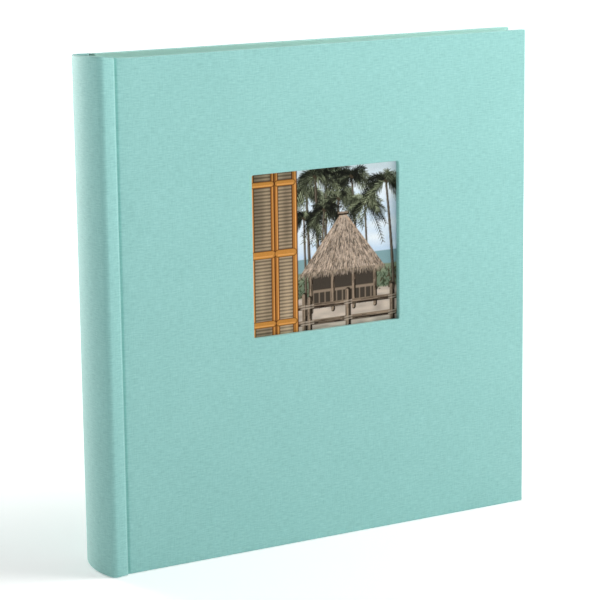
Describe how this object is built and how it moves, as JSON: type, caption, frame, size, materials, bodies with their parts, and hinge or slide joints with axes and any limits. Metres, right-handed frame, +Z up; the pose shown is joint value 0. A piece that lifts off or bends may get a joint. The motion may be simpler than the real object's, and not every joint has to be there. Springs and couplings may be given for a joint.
{
  "type": "photo album",
  "caption": "Case-bound photo album in woven book cloth, standing closed, with a rounded spine, hinged covers, a square window in the front cover, and card leaves with glassine sheets.",
  "frame": {"origin": "bottom centre of the closed album, on the surface it stands on", "axes": "+Z up, from tail to head; spine at -X and fore-edge at +X; the front cover faces -Y and the rear cover +Y"},
  "size_m": [0.3, 0.0416, 0.31],
  "materials": {
    "book_cloth": "woven linen, matt",
    "grey_board": "smooth",
    "endpaper": "matt",
    "guard_card": "matt",
    "lining": "kraft, matt",
    "band": "woven, matt",
    "picture": "satin print",
    "album_card": "matt",
    "glassine": "smooth, faint web pattern"
  },
  "bodies": {
    "spine_and_block": {"spine_cloth": "book_cloth", "spine_board": "grey_board", "guard_block": "guard_card", "spine_lining": "lining", "head_band": "band", "tail_band": "band"},
    "front_cover": {"front_board": "grey_board", "front_cloth": "book_cloth", "front_liner": "grey_board", "picture_card": "picture", "picture_backing": "endpaper", "front_pastedown": "endpaper"},
    "rear_cover": {"rear_board": "grey_board", "rear_cloth": "book_cloth", "rear_pastedown": "endpaper"},
    "front_flyleaf": {"front_flyleaf": "endpaper"},
    "leaf_01": {"leaf_01": "album_card"},
    "glassine_01": {"glassine_01": "glassine"},
    "leaf_02": {"leaf_02": "album_card"},
    "glassine_02": {"glassine_02": "glassine"},
    "leaf_03": {"leaf_03": "album_card"},
    "glassine_03": {"glassine_03": "glassine"},
    "leaf_04": {"leaf_04": "album_card"},
    "glassine_04": {"glassine_04": "glassine"},
    "leaf_05": {"leaf_05": "album_card"},
    "glassine_05": {"glassine_05": "glassine"},
    "leaf_06": {"leaf_06": "album_card"},
    "glassine_06": {"glassine_06": "glassine"},
    "leaf_07": {"leaf_07": "album_card"},
    "glassine_07": {"glassine_07": "glassine"},
    "leaf_08": {"leaf_08": "album_card"},
    "glassine_08": {"glassine_08": "glassine"},
    "leaf_09": {"leaf_09": "album_card"},
    "glassine_09": {"glassine_09": "glassine"},
    "leaf_10": {"leaf_10": "album_card"},
    "glassine_10": {"glassine_10": "glassine"},
    "leaf_11": {"leaf_11": "album_card"},
    "glassine_11": {"glassine_11": "glassine"},
    "leaf_12": {"leaf_12": "album_card"},
    "glassine_12": {"glassine_12": "glassine"},
    "leaf_13": {"leaf_13": "album_card"},
    "glassine_13": {"glassine_13": "glassine"},
    "leaf_14": {"leaf_14": "album_card"},
    "glassine_14": {"glassine_14": "glassine"},
    "leaf_15": {"leaf_15": "album_card"},
    "glassine_15": {"glassine_15": "glassine"},
    "leaf_16": {"leaf_16": "album_card"},
    "glassine_16": {"glassine_16": "glassine"},
    "leaf_17": {"leaf_17": "album_card"},
    "glassine_17": {"glassine_17": "glassine"},
    "leaf_18": {"leaf_18": "album_card"},
    "glassine_18": {"glassine_18": "glassine"},
    "leaf_19": {"leaf_19": "album_card"},
    "glassine_19": {"glassine_19": "glassine"},
    "leaf_20": {"leaf_20": "album_card"},
    "glassine_20": {"glassine_20": "glassine"},
    "rear_flyleaf": {"rear_flyleaf": "endpaper"}
  },
  "joints": [
    {"name": "front_cover_hinge", "type": "hinge", "parent": "spine_and_block", "child": "front_cover", "pos_m": [-0.1355, -0.0197, 0.155], "axis": [0, 0, -1], "range_deg": [0, 180]},
    {"name": "rear_cover_hinge", "type": "hinge", "parent": "spine_and_block", "child": "rear_cover", "pos_m": [-0.1355, 0.0197, 0.155], "axis": [0, 0, 1], "range_deg": [0, 180]},
    {"name": "front_flyleaf_turn", "type": "hinge", "parent": "spine_and_block", "child": "front_flyleaf", "pos_m": [-0.1355, -0.0197, 0.155], "axis": [0, 0, -1], "range_deg": [0, 180]},
    {"name": "leaf_01_turn", "type": "hinge", "parent": "spine_and_block", "child": "leaf_01", "pos_m": [-0.1355, -0.0197, 0.155], "axis": [0, 0, -1], "range_deg": [0, 180]},
    {"name": "glassine_01_turn", "type": "hinge", "parent": "spine_and_block", "child": "glassine_01", "pos_m": [-0.1355, -0.0197, 0.155], "axis": [0, 0, -1], "range_deg": [0, 180]},
    {"name": "leaf_02_turn", "type": "hinge", "parent": "spine_and_block", "child": "leaf_02", "pos_m": [-0.1355, -0.0197, 0.155], "axis": [0, 0, -1], "range_deg": [0, 180]},
    {"name": "glassine_02_turn", "type": "hinge", "parent": "spine_and_block", "child": "glassine_02", "pos_m": [-0.1355, -0.0197, 0.155], "axis": [0, 0, -1], "range_deg": [0, 180]},
    {"name": "leaf_03_turn", "type": "hinge", "parent": "spine_and_block", "child": "leaf_03", "pos_m": [-0.1355, -0.0197, 0.155], "axis": [0, 0, -1], "range_deg": [0, 180]},
    {"name": "glassine_03_turn", "type": "hinge", "parent": "spine_and_block", "child": "glassine_03", "pos_m": [-0.1355, -0.0197, 0.155], "axis": [0, 0, -1], "range_deg": [0, 180]},
    {"name": "leaf_04_turn", "type": "hinge", "parent": "spine_and_block", "child": "leaf_04", "pos_m": [-0.1355, -0.0197, 0.155], "axis": [0, 0, -1], "range_deg": [0, 180]},
    {"name": "glassine_04_turn", "type": "hinge", "parent": "spine_and_block", "child": "glassine_04", "pos_m": [-0.1355, -0.0197, 0.155], "axis": [0, 0, -1], "range_deg": [0, 180]},
    {"name": "leaf_05_turn", "type": "hinge", "parent": "spine_and_block", "child": "leaf_05", "pos_m": [-0.1355, -0.0197, 0.155], "axis": [0, 0, -1], "range_deg": [0, 180]},
    {"name": "glassine_05_turn", "type": "hinge", "parent": "spine_and_block", "child": "glassine_05", "pos_m": [-0.1355, -0.0197, 0.155], "axis": [0, 0, -1], "range_deg": [0, 180]},
    {"name": "leaf_06_turn", "type": "hinge", "parent": "spine_and_block", "child": "leaf_06", "pos_m": [-0.1355, -0.0197, 0.155], "axis": [0, 0, -1], "range_deg": [0, 180]},
    {"name": "glassine_06_turn", "type": "hinge", "parent": "spine_and_block", "child": "glassine_06", "pos_m": [-0.1355, -0.0197, 0.155], "axis": [0, 0, -1], "range_deg": [0, 180]},
    {"name": "leaf_07_turn", "type": "hinge", "parent": "spine_and_block", "child": "leaf_07", "pos_m": [-0.1355, -0.0197, 0.155], "axis": [0, 0, -1], "range_deg": [0, 180]},
    {"name": "glassine_07_turn", "type": "hinge", "parent": "spine_and_block", "child": "glassine_07", "pos_m": [-0.1355, -0.0197, 0.155], "axis": [0, 0, -1], "range_deg": [0, 180]},
    {"name": "leaf_08_turn", "type": "hinge", "parent": "spine_and_block", "child": "leaf_08", "pos_m": [-0.1355, -0.0197, 0.155], "axis": [0, 0, -1], "range_deg": [0, 180]},
    {"name": "glassine_08_turn", "type": "hinge", "parent": "spine_and_block", "child": "glassine_08", "pos_m": [-0.1355, -0.0197, 0.155], "axis": [0, 0, -1], "range_deg": [0, 180]},
    {"name": "leaf_09_turn", "type": "hinge", "parent": "spine_and_block", "child": "leaf_09", "pos_m": [-0.1355, -0.0197, 0.155], "axis": [0, 0, -1], "range_deg": [0, 180]},
    {"name": "glassine_09_turn", "type": "hinge", "parent": "spine_and_block", "child": "glassine_09", "pos_m": [-0.1355, -0.0197, 0.155], "axis": [0, 0, -1], "range_deg": [0, 180]},
    {"name": "leaf_10_turn", "type": "hinge", "parent": "spine_and_block", "child": "leaf_10", "pos_m": [-0.1355, -0.0197, 0.155], "axis": [0, 0, -1], "range_deg": [0, 180]},
    {"name": "glassine_10_turn", "type": "hinge", "parent": "spine_and_block", "child": "glassine_10", "pos_m": [-0.1355, -0.0197, 0.155], "axis": [0, 0, -1], "range_deg": [0, 180]},
    {"name": "leaf_11_turn", "type": "hinge", "parent": "spine_and_block", "child": "leaf_11", "pos_m": [-0.1355, 0.0197, 0.155], "axis": [0, 0, 1], "range_deg": [0, 180]},
    {"name": "glassine_11_turn", "type": "hinge", "parent": "spine_and_block", "child": "glassine_11", "pos_m": [-0.1355, 0.0197, 0.155], "axis": [0, 0, 1], "range_deg": [0, 180]},
    {"name": "leaf_12_turn", "type": "hinge", "parent": "spine_and_block", "child": "leaf_12", "pos_m": [-0.1355, 0.0197, 0.155], "axis": [0, 0, 1], "range_deg": [0, 180]},
    {"name": "glassine_12_turn", "type": "hinge", "parent": "spine_and_block", "child": "glassine_12", "pos_m": [-0.1355, 0.0197, 0.155], "axis": [0, 0, 1], "range_deg": [0, 180]},
    {"name": "leaf_13_turn", "type": "hinge", "parent": "spine_and_block", "child": "leaf_13", "pos_m": [-0.1355, 0.0197, 0.155], "axis": [0, 0, 1], "range_deg": [0, 180]},
    {"name": "glassine_13_turn", "type": "hinge", "parent": "spine_and_block", "child": "glassine_13", "pos_m": [-0.1355, 0.0197, 0.155], "axis": [0, 0, 1], "range_deg": [0, 180]},
    {"name": "leaf_14_turn", "type": "hinge", "parent": "spine_and_block", "child": "leaf_14", "pos_m": [-0.1355, 0.0197, 0.155], "axis": [0, 0, 1], "range_deg": [0, 180]},
    {"name": "glassine_14_turn", "type": "hinge", "parent": "spine_and_block", "child": "glassine_14", "pos_m": [-0.1355, 0.0197, 0.155], "axis": [0, 0, 1], "range_deg": [0, 180]},
    {"name": "leaf_15_turn", "type": "hinge", "parent": "spine_and_block", "child": "leaf_15", "pos_m": [-0.1355, 0.0197, 0.155], "axis": [0, 0, 1], "range_deg": [0, 180]},
    {"name": "glassine_15_turn", "type": "hinge", "parent": "spine_and_block", "child": "glassine_15", "pos_m": [-0.1355, 0.0197, 0.155], "axis": [0, 0, 1], "range_deg": [0, 180]},
    {"name": "leaf_16_turn", "type": "hinge", "parent": "spine_and_block", "child": "leaf_16", "pos_m": [-0.1355, 0.0197, 0.155], "axis": [0, 0, 1], "range_deg": [0, 180]},
    {"name": "glassine_16_turn", "type": "hinge", "parent": "spine_and_block", "child": "glassine_16", "pos_m": [-0.1355, 0.0197, 0.155], "axis": [0, 0, 1], "range_deg": [0, 180]},
    {"name": "leaf_17_turn", "type": "hinge", "parent": "spine_and_block", "child": "leaf_17", "pos_m": [-0.1355, 0.0197, 0.155], "axis": [0, 0, 1], "range_deg": [0, 180]},
    {"name": "glassine_17_turn", "type": "hinge", "parent": "spine_and_block", "child": "glassine_17", "pos_m": [-0.1355, 0.0197, 0.155], "axis": [0, 0, 1], "range_deg": [0, 180]},
    {"name": "leaf_18_turn", "type": "hinge", "parent": "spine_and_block", "child": "leaf_18", "pos_m": [-0.1355, 0.0197, 0.155], "axis": [0, 0, 1], "range_deg": [0, 180]},
    {"name": "glassine_18_turn", "type": "hinge", "parent": "spine_and_block", "child": "glassine_18", "pos_m": [-0.1355, 0.0197, 0.155], "axis": [0, 0, 1], "range_deg": [0, 180]},
    {"name": "leaf_19_turn", "type": "hinge", "parent": "spine_and_block", "child": "leaf_19", "pos_m": [-0.1355, 0.0197, 0.155], "axis": [0, 0, 1], "range_deg": [0, 180]},
    {"name": "glassine_19_turn", "type": "hinge", "parent": "spine_and_block", "child": "glassine_19", "pos_m": [-0.1355, 0.0197, 0.155], "axis": [0, 0, 1], "range_deg": [0, 180]},
    {"name": "leaf_20_turn", "type": "hinge", "parent": "spine_and_block", "child": "leaf_20", "pos_m": [-0.1355, 0.0197, 0.155], "axis": [0, 0, 1], "range_deg": [0, 180]},
    {"name": "glassine_20_turn", "type": "hinge", "parent": "spine_and_block", "child": "glassine_20", "pos_m": [-0.1355, 0.0197, 0.155], "axis": [0, 0, 1], "range_deg": [0, 180]},
    {"name": "rear_flyleaf_turn", "type": "hinge", "parent": "spine_and_block", "child": "rear_flyleaf", "pos_m": [-0.1355, 0.0197, 0.155], "axis": [0, 0, 1], "range_deg": [0, 180]}
  ],
  "couplings": [
    {"joint": "front_flyleaf_turn", "follows": "front_cover_hinge", "ratio": 0.985},
    {"joint": "leaf_01_turn", "follows": "front_cover_hinge", "ratio": 0.973},
    {"joint": "glassine_01_turn", "follows": "front_cover_hinge", "ratio": 0.961},
    {"joint": "leaf_02_turn", "follows": "front_cover_hinge", "ratio": 0.949},
    {"joint": "glassine_02_turn", "follows": "front_cover_hinge", "ratio": 0.937},
    {"joint": "leaf_03_turn", "follows": "front_cover_hinge", "ratio": 0.925},
    {"joint": "glassine_03_turn", "follows": "front_cover_hinge", "ratio": 0.913},
    {"joint": "leaf_04_turn", "follows": "front_cover_hinge", "ratio": 0.901},
    {"joint": "glassine_04_turn", "follows": "front_cover_hinge", "ratio": 0.889},
    {"joint": "leaf_05_turn", "follows": "front_cover_hinge", "ratio": 0.877},
    {"joint": "glassine_05_turn", "follows": "front_cover_hinge", "ratio": 0.865},
    {"joint": "leaf_06_turn", "follows": "front_cover_hinge", "ratio": 0.853},
    {"joint": "glassine_06_turn", "follows": "front_cover_hinge", "ratio": 0.841},
    {"joint": "leaf_07_turn", "follows": "front_cover_hinge", "ratio": 0.829},
    {"joint": "glassine_07_turn", "follows": "front_cover_hinge", "ratio": 0.817},
    {"joint": "leaf_08_turn", "follows": "front_cover_hinge", "ratio": 0.805},
    {"joint": "glassine_08_turn", "follows": "front_cover_hinge", "ratio": 0.793},
    {"joint": "leaf_09_turn", "follows": "front_cover_hinge", "ratio": 0.781},
    {"joint": "glassine_09_turn", "follows": "front_cover_hinge", "ratio": 0.769},
    {"joint": "leaf_10_turn", "follows": "front_cover_hinge", "ratio": 0.757},
    {"joint": "glassine_10_turn", "follows": "front_cover_hinge", "ratio": 0.745},
    {"joint": "leaf_11_turn", "follows": "rear_cover_hinge", "ratio": 0.745},
    {"joint": "glassine_11_turn", "follows": "rear_cover_hinge", "ratio": 0.757},
    {"joint": "leaf_12_turn", "follows": "rear_cover_hinge", "ratio": 0.769},
    {"joint": "glassine_12_turn", "follows": "rear_cover_hinge", "ratio": 0.781},
    {"joint": "leaf_13_turn", "follows": "rear_cover_hinge", "ratio": 0.793},
    {"joint": "glassine_13_turn", "follows": "rear_cover_hinge", "ratio": 0.805},
    {"joint": "leaf_14_turn", "follows": "rear_cover_hinge", "ratio": 0.817},
    {"joint": "glassine_14_turn", "follows": "rear_cover_hinge", "ratio": 0.829},
    {"joint": "leaf_15_turn", "follows": "rear_cover_hinge", "ratio": 0.841},
    {"joint": "glassine_15_turn", "follows": "rear_cover_hinge", "ratio": 0.853},
    {"joint": "leaf_16_turn", "follows": "rear_cover_hinge", "ratio": 0.865},
    {"joint": "glassine_16_turn", "follows": "rear_cover_hinge", "ratio": 0.877},
    {"joint": "leaf_17_turn", "follows": "rear_cover_hinge", "ratio": 0.889},
    {"joint": "glassine_17_turn", "follows": "rear_cover_hinge", "ratio": 0.901},
    {"joint": "leaf_18_turn", "follows": "rear_cover_hinge", "ratio": 0.913},
    {"joint": "glassine_18_turn", "follows": "rear_cover_hinge", "ratio": 0.925},
    {"joint": "leaf_19_turn", "follows": "rear_cover_hinge", "ratio": 0.937},
    {"joint": "glassine_19_turn", "follows": "rear_cover_hinge", "ratio": 0.949},
    {"joint": "leaf_20_turn", "follows": "rear_cover_hinge", "ratio": 0.961},
    {"joint": "glassine_20_turn", "follows": "rear_cover_hinge", "ratio": 0.973},
    {"joint": "rear_flyleaf_turn", "follows": "rear_cover_hinge", "ratio": 0.985}
  ]
}
